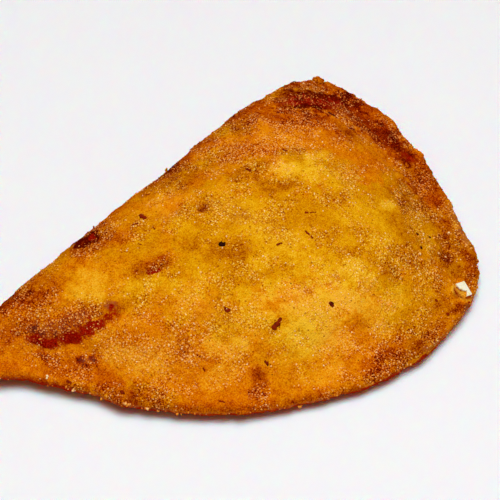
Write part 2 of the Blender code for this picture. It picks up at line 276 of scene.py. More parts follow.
def friedCrust():
    look = crustFinish
    paint = Finish("friedCrust", {"Specular IOR Level": look["gloss"]})
    browning, plum = paint.attribute("browning"), paint.attribute("plum")
    pale, amber, lip = paint.attribute("paleness"), paint.attribute("amber"), paint.attribute("lip")
    cloud = paint.speckle(paint.place, look["cloudSize"], detail=3.0, roughness=0.55)
    mottle = paint.speckle(paint.place, look["mottleSize"], detail=3.0, roughness=0.6)
    grain = paint.speckle(paint.place, look["grainSize"], roughness=0.6)
    hue = paint.speckle(paint.place, look["hueSize"])
    drift = paint.rise(paint.attribute("drift") + (mottle - 0.5) * look["driftMottle"], *look["driftFrom"])
    red = paint.attribute("redness") + (mottle - 0.5) * look["redMottle"] + (grain - 0.5) * look["redByGrain"]
    red = paint.rise(red, *look["redFrom"])

    ground = browning + (cloud - 0.5) * (look["cloud"] * 2) + (mottle - 0.5) * (look["mottle"] * 2)
    toast = ground + drift * look["between"]
    toast = toast + (grain - 0.5) * (drift * look["driftGrain"] + look["bareGrain"]) * (look["grain"] * 2)
    yellow = paint.node("ShaderNodeValToRGB", {"stops": look["yellow"]}, {0: toast})
    orange = paint.node("ShaderNodeValToRGB", {"stops": look["orange"]}, {0: toast})
    colour = paint.blend(orange, yellow, paint.rise(hue + amber, *look["hueFrom"]))
    colour = paint.blend(colour, look["pale"], pale * look["paleCover"])
    patchy = paint.rise(grain, *look["patchyFrom"])
    plums = paint.blend(look["plum"], look["plumGrain"], patchy)
    colour = paint.blend(colour, plums, plum * look["plumCover"])
    reds = paint.blend(look["red"], look["redGrain"], patchy)
    colour = paint.blend(colour, reds, red)

    # pale corn grains, also standing in for glints as painted highlights
    ragged = paint.bent(paint.place, look["paleGrainSize"] * look["warpSize"], look["warp"])
    grit, pick = paint.cells(ragged, look["paleGrainSize"])
    paleGrainsAndGlints = paint.rise(grit, *look["paleGrainEdge"])
    paleGrainsAndGlints = paleGrainsAndGlints * paint.rise(pick + drift * look["paleGrainMore"], *look["paleGrainPick"])
    paleGrainsAndGlints = paleGrainsAndGlints * (drift * look["paleGrainDrift"] + look["paleGrainBare"])
    pinkish = paint.rise(hue + amber - pale * look["pinkPale"], *look["pinkFrom"])
    brownish = paint.rise(ground + red * look["brownRed"], *look["brownFrom"])
    grainColour = paint.blend(look["yellowGrain"], look["pinkGrain"], pinkish)
    grainColour = paint.blend(grainColour, look["brownGrain"], brownish)
    cover = paleGrainsAndGlints * (look["paleGrainCover"] + pale * look["coverPale"]) * (1.0 - red * look["coverRed"])
    colour = paint.blend(colour, grainColour, cover)
    pit, pick = paint.cells(ragged, look["darkGrainSize"])
    darkGrains = paint.rise(pit, *look["darkGrainEdge"]) * paint.rise(pick, *look["darkGrainPick"])
    colour = paint.blend(colour, look["darkGrain"], darkGrains * look["darkGrainCover"])
    # the seal's edge: torn crumbs and a painted rim highlight
    lipsAndSheen = paint.blend(look["lip"], look["lipGrainAndSheen"], patchy)
    colour = paint.blend(colour, lipsAndSheen, lip * look["lipAndSheenCover"])
    colour = paint.blend(colour, reds, red * lip)
    # painted shade on the seal's foot, laid over all the colour
    paint.coat("Base Color", paint.blend(colour, look["wall"], paint.attribute("wall") * look["footShadeCover"]))

    paint.coat("Roughness", look["roughness"] - paleGrainsAndGlints * look["glossyGrain"] + red * look["roughRed"])
    fine = paint.speckle(paint.place, look["reliefSize"], roughness=0.6)
    paint.emboss(fine + (1.0 - grit) * look["gritRelief"] + mottle * look["mottleRelief"], look["relief"])
    return paint.material


gritFinish = {
    "tints": [
        (0.0, tone(236, 146, 24)), (0.4, tone(250, 168, 50)), (0.75, tone(255, 192, 104)),
        (1.0, tone(255, 230, 176)),
    ],
    "fleckSize": 0.3, "fleck": 0.3,
    "toasted": tone(222, 116, 40), "toastedFrom": (0.3, 1.0), "toastedCover": 0.85,
    "gloss": 0.04, "roughness": 0.32,
}


def cornGritFinish():
    look = gritFinish
    paint = Finish("cornGritFinish", {"Specular IOR Level": look["gloss"], "Roughness": look["roughness"]})
    fleck = paint.speckle(paint.place, look["fleckSize"])
    tint = paint.attribute("tint") + (fleck - 0.5) * look["fleck"]
    colour = paint.node("ShaderNodeValToRGB", {"stops": look["tints"]}, {0: tint})
    toasted = paint.rise(paint.attribute("browning"), *look["toastedFrom"])
    paint.coat("Base Color", paint.blend(colour, look["toasted"], toasted * look["toastedCover"]))
    return paint.material


scorchFinish = {
    "charred": tone(40, 12, 6), "rusty": tone(136, 34, 4), "rustyFrom": (0.4, 1.1),
    "charSize": 0.6, "char": 0.8,
    "gloss": 0.02, "roughness": 0.5,
    "relief": 0.08, "reliefSize": 0.35, "reliefStrength": 0.8,
}


def scorchedFinish():
    look = scorchFinish
    paint = Finish("scorchedFinish", {"Specular IOR Level": look["gloss"], "Roughness": look["roughness"]})
    char = paint.speckle(paint.place, look["charSize"])
    share = paint.rise(char * look["char"] + paint.attribute("tint"), *look["rustyFrom"])
    paint.coat("Base Color", paint.blend(look["charred"], look["rusty"], share))
    paint.emboss(paint.speckle(paint.place, look["reliefSize"]), look["relief"], look["reliefStrength"])
    return paint.material


doughFinish = {
    "cream": tone(255, 251, 220), "butter": tone(250, 230, 160), "crumbSize": 0.8, "butterFrom": (0.45, 0.75),
    "roughness": 0.4,
    "glow": (0.6, 0.5, 0.3), "glowShare": 0.2,         # how far red, green and blue light travel in the dough
    "relief": 0.1, "reliefStrength": 0.6,
}


def paleDoughFinish():
    look = doughFinish
    paint = Finish("paleDoughFinish", {
        "Roughness": look["roughness"], "Subsurface Weight": look["glowShare"],
        "Subsurface Radius": [reach * mm for reach in look["glow"]], "Subsurface Scale": 1.0,
    })
    crumb = paint.speckle(paint.place, look["crumbSize"], detail=3.0)
    buttery = paint.rise(crumb, *look["butterFrom"])
    paint.coat("Base Color", paint.blend(look["cream"], look["butter"], buttery))
    paint.emboss(crumb, look["relief"], look["reliefStrength"])
    return paint.material


crustShape = {
    "voxel": 0.505, "weld": 0.01,
    "smoothing": 0.5,
    "evenSteps": 4,              # smoothing of the whole surface
    "faceSteps": 60,             # more of it away from the rim
    "rimReach": 4.0,
    "upright": 0.3,              # the edge is where a normal rises less than this
    "swellSize": 12.0, "swell": 0.35,
    "blisterSize": 3.2, "blister": 0.22,
    "grainSize": 1.15, "grain": 0.13,
    "sealFrom": (3.0, 8.0),      # how far from the fold the seal starts, and is whole
    "nibbleSize": 1.6, "nibble": 0.32, "nibbleReach": (3.0, 0.5),
    "foldNibble": 0.4,           # the share of that on the fold
    "push": 0.5,                 # what the smoothing took off the seal's edge
    "pushReach": (2.5, 0.6), "pushFrom": (-62.0, -42.0),    # none of it at the narrow corner
    "stillBelow": (0.4, 1.6),    # the flat underside stays where it is
}


def plainMesh(source, name):
    graph = bpy.context.evaluated_depsgraph_get()
    mesh = bpy.data.meshes.new_from_object(source.evaluated_get(graph))
    mesh.name = name
    return mesh


def arrayOf(mesh, normals=False):
    values = np.empty(len(mesh.vertices) * 3, np.float32)
    if normals:
        mesh.vertex_normals.foreach_get("vector", values)
    else:
        mesh.vertices.foreach_get("co", values)
    return values.reshape(-1, 3).astype(float)


def movedTo(mesh, points):
    mesh.vertices.foreach_set("co", points.astype(np.float32).ravel())


def smoothstep(low, high, value):
    share = np.clip((value - low) / (high - low), 0.0, 1.0)
    return share * share * (3.0 - 2.0 * share)


# smooth random values about -1 to 1 at each point, with features of that size
def cloudAt(points, size, seed, octaves=3):
    shift = Vector((seed * 7.3, seed * 3.1, seed * 5.7))
    scaled = points / (size * mm)
    return np.array([noise.fractal(Vector(p) + shift, 0.8, 2.1, octaves) for p in scaled])


def roundedCopy(node):
    copy = bpy.data.objects.new("crust", node.data.copy())
    bpy.context.scene.collection.objects.link(copy)
    merged = bmesh.new()
    merged.from_mesh(copy.data)
    bmesh.ops.remove_doubles(merged, verts=merged.verts, dist=crustShape["weld"] * mm)
    merged.to_mesh(copy.data)
    merged.free()
    remesh = copy.modifiers.new("even faces", "REMESH")
    remesh.mode = "VOXEL"
    remesh.voxel_size = crustShape["voxel"] * mm
    bpy.context.view_layer.update()
    copy.data = plainMesh(copy, "crust")
    copy.modifiers.clear()
    return copy


# plan distance of every vertex to the nearest upright bit of the edge, in metres
def distanceToRim(points, normals):
    upright = np.flatnonzero(np.abs(normals[:, 2]) < crustShape["upright"])
    tree = KDTree(len(upright))
    for index in upright:
        tree.insert(Vector((points[index, 0], points[index, 1], 0.0)), int(index))
    tree.balance()
    return np.array([tree.find(Vector((x, y, 0.0)))[2] for x, y, _ in points])


def smoothAway(copy, toRim):
    group = copy.vertex_groups.new(name="faces")
    weights = smoothstep(0.5, 1.0, toRim / (crustShape["rimReach"] * mm))
    levels = 10
    for level in range(1, levels + 1):
        members = np.flatnonzero(np.round(weights * levels) == level)
        group.add([int(m) for m in members], level / levels, "REPLACE")
    for label, members in (("even", ""), ("face", "faces")):
        soften = copy.modifiers.new(label, "SMOOTH")
        soften.factor = crustShape["smoothing"]
        soften.iterations = crustShape[label + "Steps"]
        soften.vertex_group = members
    bpy.context.view_layer.update()
    copy.data = plainMesh(copy, "crust")
    copy.modifiers.clear()
    copy.vertex_groups.clear()


# Strokes on the crust: the photo pixels they run through, how far they reach, and how strongly they act
strokeLook = {
    "squat": 0.82, "stretch": 0.35,      # what a millimetre in the view and one along the crust count for
    "edge": (1.15, 0.3),                 # shares of its reach at which a stroke ends, and is whole
    "coarseSize": 2.4, "coarse": 0.34,   # how uneven its border is
    "fineSize": 0.9, "fine": 0.22,
    "reliefBorder": 0.5,                 # the share of that for a raised or sunk place
}
browner = {
    "outer strip, left": ([(290, 92), (304, 89)], 2.4, 0.12),
    "outer strip": ([(310, 85), (330, 88), (346, 93), (372, 112), (396, 134)], 2.4, 0.18),
    "far band": ([(284, 101), (300, 100), (316, 101), (332, 104), (350, 108), (362, 121), (376, 132),
                  (390, 142), (404, 155)], 4.0, 0.42),
    "far band, darkest": ([(298, 97), (312, 99), (332, 100), (344, 98)], 2.4, 0.28),
    "blunt shoulder, darkest": ([(376, 132), (390, 142), (406, 156)], 2.0, 0.1),
    "below the far band": ([(288, 115), (312, 119), (336, 127), (352, 131)], 3.0, 0.22),
    "right flank": ([(416, 162), (426, 174), (434, 189), (435, 200)], 3.0, 0.28),
    "right flank, inner": ([(402, 184), (411, 190), (406, 208), (418, 204)], 3.0, 0.24),
    "right strip": ([(444, 206), (451, 218)], 2.4, 0.14),
    "dark hollow by the rim": ([(443, 237), (446, 247), (447, 256)], 2.3, 0.3),
    "cheek above the olive patch": ([(394, 220), (406, 230), (418, 244)], 3.0, 0.12),
    "brown cheek": ([(398, 250), (408, 257), (416, 262)], 3.2, 0.2),
    "brown cheek, lower": ([(388, 268), (397, 275)], 2.6, 0.2),
    "seal near the flake": ([(450, 262), (457, 272), (468, 280)], 2.6, 0.22),
    "lower right slope": ([(384, 357), (412, 341), (436, 319), (452, 300)], 3.6, 0.14),
    "lower right rim": ([(368, 378), (384, 371), (415, 352), (440, 330)], 2.2, 0.22),
    "brown knot low in the middle": ([(259, 372), (261, 382), (256, 392)], 2.8, 0.32),
    "brown left of the knot": ([(205, 352), (212, 360)], 2.4, 0.05),
    "lower slope": ([(86, 372), (106, 380), (128, 390)], 3.6, 0.18),
    "narrow slope": ([(0, 368), (14, 368)], 2.2, 0.08),
    "blotch": ([(34, 332), (50, 330), (66, 325), (82, 316), (100, 312)], 3.6, 0.25),
    "left of the blotch": ([(6, 338), (20, 332), (34, 320)], 3.0, 0.16),
    "right of the blotch": ([(112, 314), (123, 306)], 2.4, 0.18),
    "round the small pair": ([(78, 362), (94, 362)], 2.8, 0.2),
    "small pair": ([(79, 360), (82, 358)], 1.1, 0.42),
    "small pair, second": ([(91, 358), (94, 360)], 1.1, 0.42),
    "streak above the pair": ([(40, 352), (46, 358)], 1.6, 0.22),
    "smudge in the middle": ([(214, 250), (230, 251), (244, 251)], 3.4, 0.2),
    "raised mark": ([(138, 272), (150, 268), (164, 262)], 3.0, 0.28),
    "fold by the narrow corner": ([(0, 307), (18, 299), (44, 297)], 3.0, 0.22),
    "fold flank": ([(36, 290), (46, 285), (62, 286)], 3.6, 0.15),
    "scorch on the fold": ([(78, 242), (86, 240), (94, 236)], 2.2, 0.5),
    "under the scorch": ([(78, 252), (92, 246), (112, 236)], 3.0, 0.22),
    "fold, middle": ([(148, 186), (166, 172), (184, 161)], 4.0, 0.2),
    "fold, darkest": ([(165, 170), (174, 166)], 2.2, 0.24),
    "fold towards the blunt corner": ([(233, 123), (246, 115), (262, 106)], 3.2, 0.24),
    "round the dimple": ([(182, 207), (198, 208), (211, 202)], 2.8, 0.13),
    "above the orange marks": ([(235, 175), (250, 174), (262, 167)], 2.8, 0.17),
    "upper band": ([(264, 151), (284, 150), (302, 150)], 1.6, 0.18),
    "orange marks": ([(258, 178), (266, 184), (270, 192)], 2.2, 0.2),
    "orange marks, right": ([(280, 186), (288, 183), (298, 181)], 2.4, 0.26),
    "right of the middle": ([(332, 197), (342, 198)], 2.6, 0.12),
    "orange at the right": ([(364, 160), (376, 163), (388, 168)], 3.4, 0.08),
    "cheek at the right": ([(344, 252), (356, 252)], 2.4, 0.12),
    "brown, lower left": ([(183, 338), (184, 352)], 2.4, 0.18),
    "brown spot, left": ([(166, 330), (176, 324)], 2.0, 0.12),
    "dimple": ([(202, 209), (205, 206)], 1.8, 0.28),
    "right strip, lower": ([(446, 228), (455, 236), (460, 250)], 2.8, 0.2),
    "lower right slope, upper": ([(392, 338), (410, 324), (432, 308)], 3.0, 0.08),
    "orange, lower right": ([(358, 322), (364, 324)], 2.0, 0.08),
    "lower slope, right of the knot": ([(264, 391), (280, 393)], 2.4, 0.06),
    "lower slope, right": ([(366, 366), (390, 354)], 2.6, 0.22),
    "lower rim, inner": ([(137, 391), (148, 392), (160, 396)], 2.8, 0.2),
    "round the long fleck": ([(270, 331), (276, 326), (284, 322)], 2.2, 0.22),
    "dark mottles, first": ([(79, 303), (85, 310)], 1.5, 0.12),
    "dark mottles, left end": ([(32, 330), (42, 334)], 1.6, 0.26),
    "dark mottles, oval": ([(110, 304), (116, 308), (118, 313)], 1.5, 0.22),
    "left of the flake": ([(436, 252), (444, 268), (438, 286)], 3.0, 0.16),
    "by the narrow corner": ([(44, 362), (70, 371)], 3.0, 0.16),
    "inner fold": ([(170, 190), (184, 182), (198, 176)], 3.2, 0.22),
    "smudge, low": ([(232, 266), (242, 262)], 2.4, 0.08),
    "pinkish marks": ([(240, 222), (246, 214)], 2.6, 0.12),
    "below the blunt fold": ([(212, 162), (232, 154), (250, 148)], 3.4, 0.16),
    "below the blunt fold, right": ([(272, 129), (306, 129)], 2.6, 0.12),
    "blotch, lower border": ([(58, 340), (76, 336), (88, 330)], 2.6, 0.34),
    "low in the middle": ([(296, 374), (308, 372)], 2.6, 0.12),
    "far band, inner": ([(298, 104), (318, 106)], 2.8, 0.38),
    "right flank, low": ([(426, 212), (436, 222)], 3.0, 0.22),
    "right edge": ([(468, 256), (473, 265), (474, 272)], 2.2, 0.34),
    "below the blunt fold, left": ([(268, 117), (280, 118)], 2.4, 0.26),
    "flank by the flake": ([(440, 294), (440, 303)], 2.4, 0.12),
    "brown spot by the fleck": ([(236, 333), (242, 334)], 2.0, 0.14),
    "right flank, upper": ([(408, 172), (417, 183), (422, 194)], 2.8, 0.26),
    "below the fold's end": ([(238, 132), (256, 126)], 2.6, 0.2),
    "below the flake": ([(462, 306), (467, 309)], 2.0, 0.36),
    "right, inner": ([(390, 190), (398, 200)], 2.6, 0.16),
    "left of the blotch, upper": ([(24, 308), (40, 310)], 2.4, 0.14),
    "below the far band, right": ([(334, 136), (360, 138)], 2.4, 0.14),
    "lower rim": ([(128, 400), (160, 406), (210, 409), (250, 408), (290, 402)], 2.0, 0.14),
    "fold edge, far": ([(286, 88), (296, 85)], 1.6, 0.22),
    "left of the smudge": ([(184, 244), (197, 246)], 2.4, 0.12),
    "lower slope, by the rim": ([(102, 391), (115, 394)], 2.4, 0.12),
    "above the smudge": ([(238, 238), (248, 240)], 2.4, 0.15),
    "inner fold, left": ([(122, 239), (138, 228)], 3.0, 0.14),
    "inner fold, far": ([(198, 146), (218, 142)], 2.6, 0.15),
    "left front, spot": ([(118, 340), (124, 344)], 2.2, 0.14),
    "by the long fleck": ([(281, 315), (284, 324)], 2.0, 0.14),
    "lower rim, right": ([(296, 401), (322, 396)], 2.0, 0.2),
    "lower rim, far right": ([(455, 312), (459, 318)], 1.8, 0.2),
    "lower rim, left": ([(68, 386), (86, 392)], 2.2, 0.17),
    "beside the scorch": ([(96, 232), (104, 225)], 2.0, 0.17),
    "by the cluster": ([(112, 400), (134, 404)], 1.8, 0.14),
    # painted shade along the seal's foot by the narrow corner
    "painted shade, foot's left end": ([(4, 378), (20, 380), (38, 382.5), (56, 385)], 1.3, 0.28),
    "far band, below": ([(308, 116), (320, 118)], 2.2, 0.18),
    "rim at the cluster": ([(142, 407), (156, 409.5), (168, 411)], 1.0, 0.25),
    "rim, lower right": ([(340, 395), (350, 390), (359, 387)], 1.4, 0.2),
    "rim, right end": ([(400, 371), (410, 368)], 1.0, 0.25),
}
brighter = {
    "left cheek": ([(70, 291), (84, 290), (97, 294), (96, 281), (84, 276)], 3.4, 0.27),
    "under the raised mark": ([(124, 286), (144, 284), (162, 282)], 4.2, 0.16),
    "lower left": ([(118, 352), (132, 359), (154, 364)], 5.5, 0.26),
    "lower rim, middle": ([(172, 392), (184, 396)], 3.0, 0.06),
    "fold, left": ([(48, 266), (60, 258)], 2.4, 0.1),
    "far middle": ([(284, 170), (296, 172), (310, 172)], 4.4, 0.24),
    "far middle, cream": ([(280, 166), (292, 170)], 2.6, 0.18),
    "cream dab": ([(309, 156), (314, 158), (324, 155)], 2.0, 0.24),
    "right of the middle": ([(344, 218), (362, 213), (374, 224), (384, 238)], 4.2, 0.15),
    "cream dab at the right": ([(384, 205), (391, 205)], 1.9, 0.3),
    "centre": ([(244, 228), (268, 244), (284, 250), (299, 238)], 4.6, 0.19),
    "centre, low": ([(254, 262), (264, 261)], 3.0, 0.16),
    "centre, right": ([(304, 262), (316, 268), (320, 284)], 4.6, 0.2),
    "right centre": ([(352, 272), (366, 280), (374, 292)], 4.2, 0.2),
    "pale lower middle": ([(290, 318), (304, 310), (322, 302), (346, 300)], 6.0, 0.36),
    "pale lower middle, right": ([(340, 294), (350, 300)], 4.0, 0.2),
    "pale lower middle, end": ([(298, 344), (316, 346), (344, 340)], 4.2, 0.28),
    "lower right": ([(368, 308), (386, 314), (398, 296)], 4.2, 0.24),
    "lower right, inner": ([(374, 328), (386, 331)], 3.0, 0.19),
    "left of the dark fleck": ([(186, 198), (192, 204)], 2.4, 0.1),
    "upper middle": ([(214, 192), (228, 190)], 3.0, 0.12),
    "lower centre": ([(244, 298), (258, 316), (276, 334)], 5.8, 0.2),
    "left of the knot": ([(212, 346), (226, 354), (240, 346)], 4.2, 0.27),
    "low right of the knot": ([(304, 376), (324, 378), (334, 374)], 3.4, 0.22),
    "blunt corner": ([(262, 128), (280, 132), (298, 138)], 3.6, 0.12),
    "lower left, upper": ([(150, 344), (174, 344)], 3.4, 0.1),
    "below the centre": ([(210, 384), (230, 372)], 4.0, 0.22),
    "below the centre, upper": ([(224, 328), (250, 338)], 3.6, 0.16),
    "below the centre, right": ([(278, 357), (290, 361)], 3.0, 0.12),
    "left of the blotch's end": ([(128, 320), (138, 324)], 3.0, 0.1),
    "left of the centre": ([(178, 290), (201, 286), (186, 306)], 4.2, 0.19),
    "left of the centre, upper": ([(196, 268), (208, 272)], 3.6, 0.1),
    "upper left": ([(152, 206), (174, 198)], 3.6, 0.14),
    "far middle, right": ([(316, 176), (332, 184)], 4.0, 0.16),
    "upper centre": ([(252, 206), (264, 208)], 3.0, 0.18),
    "centre, lower": ([(268, 290), (288, 292)], 4.4, 0.28),
    "pale lower middle, low": ([(316, 328), (334, 324)], 4.2, 0.33),
    "right of the centre": ([(322, 254), (334, 262), (362, 268)], 3.8, 0.17),
    "pale lower middle, left": ([(298, 332), (306, 326)], 3.4, 0.26),
    "upper left, inner": ([(160, 194), (172, 190)], 2.6, 0.14),
    # painted light: lifts the shade on the side of the solid's flake under the chip
    "under the chip": ([(457, 289), (462, 293), (463, 298)], 2.0, 0.46),
    "lower right end": ([(440, 333), (450, 330)], 2.0, 0.14),
    "right of the blotch": ([(98, 335), (114, 332)], 2.6, 0.17),
    "inner fold, left": ([(122, 227), (130, 226)], 2.2, 0.08),
    "beside the chip": ([(451, 292), (453, 298)], 2.0, 0.12),
    "low in the middle, right": ([(316, 362), (334, 364)], 2.6, 0.13),
    "upper left of the centre": ([(177, 226), (188, 227)], 3.0, 0.11),
    "centre, lower right": ([(290, 277), (300, 276)], 2.6, 0.12),
    # painted light on the shaded root of the chip
    "painted light on the chip's root": ([(454.5, 289), (457, 293)], 1.4, 0.7),
    "right middle": ([(344, 243), (352, 242)], 2.4, 0.1),
    "right middle, far": ([(371, 246), (380, 245)], 2.6, 0.1),
}
redder = {
    "lower border of the blotch": ([(29, 337), (40, 342), (54, 344), (66, 339), (80, 337)], 2.4, 0.56),
    "border, upper right": ([(84, 331), (91, 322), (102, 324), (109, 316)], 2.2, 0.68),
    "dark oval": ([(112, 306), (117, 312)], 1.2, 0.55),
    "left dots": ([(10, 332), (12, 331)], 0.8, 0.7),
    "red on the fold": ([(90, 238), (94, 237)], 0.9, 0.7),
    "line on the raised mark": ([(147, 272), (155, 271), (162, 267)], 0.65, 0.9),
    "line above it": ([(155, 260), (161, 258), (166, 257)], 0.5, 0.4),
    "far band": ([(294, 99), (316, 101), (336, 104)], 2.4, 0.52),
    "far band, left": ([(284, 103), (294, 104)], 1.3, 0.5),
    "blunt shoulder": ([(376, 134), (390, 144)], 1.5, 0.3),
    "blunt shoulder, right": ([(402, 154), (412, 160)], 1.3, 0.5),
    "right flank": ([(405, 182), (410, 184)], 1.0, 0.4),
    "border, left": ([(34, 339), (46, 344), (54, 344)], 1.5, 0.4),
    "border, brightest": ([(90, 325), (100, 324)], 1.3, 0.4),
    "border, lower right": ([(66, 338), (80, 335), (88, 330)], 2.5, 0.42),
    "below the chip": ([(466, 301), (466, 303)], 0.4, 0.6),
    # painted shade: a dark red line along the seal's foot, where it overhangs the floor
    "painted shade along the seal's foot": ([(0, 381), (20, 382), (40, 384.5), (60, 387.5), (78, 394), (100, 401), (125, 408),
                          (150, 411.5), (176, 415), (200, 416), (250, 415.5), (276, 412.5), (300, 407),
                          (330, 400), (352, 393), (376, 384), (400, 372.5), (424, 355)], 0.95, 1.0),
}
plummier = {
    "blotch, left end": ([(30, 328), (38, 332)], 1.8, 0.25),
    "oval": ([(108, 305), (113, 306)], 1.4, 0.6),
    "pair": ([(82, 360), (93, 360)], 1.2, 0.4),
    "blotch": ([(46, 330), (62, 326), (82, 316)], 3.0, 0.22),
    "torn lip, right": ([(454, 215), (460, 229), (467, 242)], 0.8, 0.6),
    "torn lip, lower right": ([(467, 306), (457, 322), (441, 338), (424, 350)], 0.9, 0.45),
}
paler = {
    # crumbs, and a painted highlight on the rounding of the rim
    "right strip": ([(449, 206), (455, 220), (458, 232)], 1.3, 0.5),
    "pale lower middle": ([(302, 296), (312, 306), (322, 322)], 5.0, 0.9),
    "pale lower middle, left": ([(288, 302), (296, 308)], 3.0, 0.5),
    "pale lower middle, end": ([(298, 346), (312, 350)], 3.4, 0.5),
    "above the pale middle": ([(334, 282), (346, 268), (360, 270), (366, 286)], 3.0, 0.7),
    "cream at the far middle": ([(276, 164), (290, 172)], 2.6, 0.8),
    "cream dab": ([(309, 156), (314, 158)], 1.4, 0.8),
    "cream dab at the right": ([(385, 205), (390, 205)], 1.6, 0.7),
    "pink grains": ([(214, 206), (228, 208), (244, 216)], 3.6, 0.6),
    "pink grains, left": ([(164, 216), (176, 216)], 2.4, 0.5),
    "pink grains, right": ([(262, 220), (274, 236), (292, 240)], 3.4, 0.5),
    "upper right": ([(340, 172), (350, 178)], 3.4, 0.4),
    "lower right": ([(382, 303), (390, 306)], 2.2, 0.6),
    "lower right, second": ([(372, 322), (380, 326)], 2.6, 0.4),
    "lower left": ([(186, 300), (200, 312), (232, 318)], 4.5, 0.3),
    "left front": ([(108, 348), (140, 354), (190, 352)], 4.5, 0.3),
    # the torn lip: pale crumbs, and a painted highlight on the rim's rounding
    "torn lip, right": ([(462, 236), (469, 246)], 0.9, 0.7),
    "torn lip, lower right": ([(470, 297), (460, 318), (452, 332), (442, 342)], 1.0, 0.7),
}
grittier = {
    "blotch": ([(24, 326), (44, 322), (66, 318), (90, 308)], 4.6, 1.0),
    "left of the blotch": ([(34, 316), (50, 310)], 3.6, 0.7),
    "front": ([(110, 340), (150, 350), (196, 350)], 6.0, 0.6),
    "below the fold": ([(226, 150), (262, 150), (300, 128)], 5.0, 0.6),
    "right": ([(382, 252), (406, 262), (428, 278)], 5.0, 0.7),
    "right flank": ([(400, 196), (420, 218)], 4.0, 0.6),
    "lower right": ([(384, 340), (420, 320)], 5.0, 0.5),
    "smooth yolk-yellow": ([(70, 278), (92, 284)], 5.0, -0.8),
    "smooth, left of the centre": ([(142, 250), (172, 246), (200, 256)], 5.0, -0.6),
    "smooth, by the narrow corner": ([(4, 356), (20, 358)], 5.0, -0.4),
    "smooth, above the flank": ([(384, 214), (396, 222)], 4.0, -0.6),
    "smooth, far right": ([(372, 180), (388, 186)], 4.0, -0.7),
}
yellower = {
    "middle": ([(230, 240), (300, 230), (370, 230)], 18.0, 0.35),
    "far middle": ([(300, 165), (340, 180)], 8.0, 0.2),
    "olive patch": ([(426, 238), (434, 246)], 3.0, 0.4),
    "below the raised mark": ([(150, 278), (160, 276)], 2.0, 0.5),
    "left front": ([(20, 350), (80, 350), (150, 350), (200, 370)], 14.0, -0.26),
    "right front": ([(320, 370), (380, 345)], 9.0, -0.06),
    "far corner": ([(270, 120), (330, 125), (380, 150)], 8.0, -0.2),
    "left middle": ([(100, 272), (140, 252), (174, 235)], 6.0, 0.14),
    "under the chip": ([(459, 290), (463, 297)], 2.0, -0.4),
}
# raised or sunk, in millimetres
relief = {
    "raised mark": ([(142, 269), (152, 264), (164, 259)], 1.9, 0.5),
    "crease under it": ([(148, 273), (156, 271), (163, 267)], 0.8, -0.55),
    "dimple": ([(202, 207), (203, 207)], 1.5, -0.5),
    "lip of the dimple": ([(188, 202), (194, 205)], 1.8, 0.2),
    "blotch": ([(34, 332), (50, 328), (66, 324), (84, 316)], 3.6, 0.45),
    "under the blotch": ([(34, 348), (54, 352), (74, 344)], 1.6, -0.3),
    "hollow by the rim": ([(443, 238), (447, 256)], 1.6, -0.6),
    "ridge at the far shoulder": ([(290, 92), (320, 90), (350, 96)], 2.0, 0.2),
    "bump, far middle": ([(284, 168), (292, 172)], 4.0, 0.3),
    "bump, lower middle": ([(300, 310), (318, 322)], 7.0, 0.4),
    "hollow, upper band": ([(262, 151), (302, 150)], 1.4, -0.25),
    "pit": ([(331, 304), (332, 305)], 0.8, -0.4),
    "foot of the flake": ([(459, 292), (463, 299)], 1.9, 0.7),
}


def distanceToLine(points, line):
    nearest = np.full(len(points), np.inf)
    for start, end in zip(line[:-1], line[1:]):
        along = end - start
        length = max(along @ along, 1e-12)      # two pixels past the edge may share one place
        share = np.clip((points - start) @ along / length, 0.0, 1.0)
        nearest = np.minimum(nearest, np.linalg.norm(points - start - share[:, None] * along, axis=1))
    return nearest


# 1 along the stroke, 0 past its reach, with an uneven border; on a slope that turns away it reaches further
def strokeShare(points, surface, pixels, reach, unevenness):
    pixelsPerMm = shot["focalPixels"] / shot["distance"]
    inView = distanceToLine(pixelsOf(points), np.array(pixels, float)) / pixelsPerMm / strokeLook["squat"]
    line = np.array([pixelOn(surface, pixel)[0] for pixel in pixels])
    onCrust = distanceToLine(points, line) / mm * strokeLook["stretch"]
    return smoothstep(*strokeLook["edge"], np.maximum(inView, onCrust) / reach + unevenness)


def strokesTogether(points, surface, strokes, unevenness):
    total = np.zeros(len(points))
    for pixels, reach, amount in strokes.values():
        total += amount * strokeShare(points, surface, pixels, reach, unevenness)
    return total


def storeValue(mesh, name, values):
    layer = mesh.attributes.new(name, "FLOAT", "POINT")
    layer.data.foreach_set("value", values.astype(np.float32))


browning = {
    "base": 0.4,
    "rim": 0.08, "rimReach": 7.0,        # browner towards the edge all round
    "fold": 0.14, "foldReach": 12.0,
    "under": 0.22, "topFrom": (-0.2, 0.3),
}
drifts = {"size": 5.0, "cloud": 0.8, "pale": 0.7, "from": (-0.5, 0.6)}     # where the grit lies thick
# the seal's torn edge: crumbs, a painted rim highlight on its side, and painted shade where it overhangs
tornRimSheenAndShade = {
    "reach": (1.3, 0.5),
    "brokenSize": 1.3, "brokenFrom": (-0.25, 0.25),
    "leastLip": 0.2, "leastCrumbs": 0.3,         # what its gaps still have
    "underFrom": (0.25, -0.1),                   # the side of the rim, by how far its normal rises
    "shadedFrom": (0.1, -0.3),                   # the part of that which overhangs, painted darker as shade
}


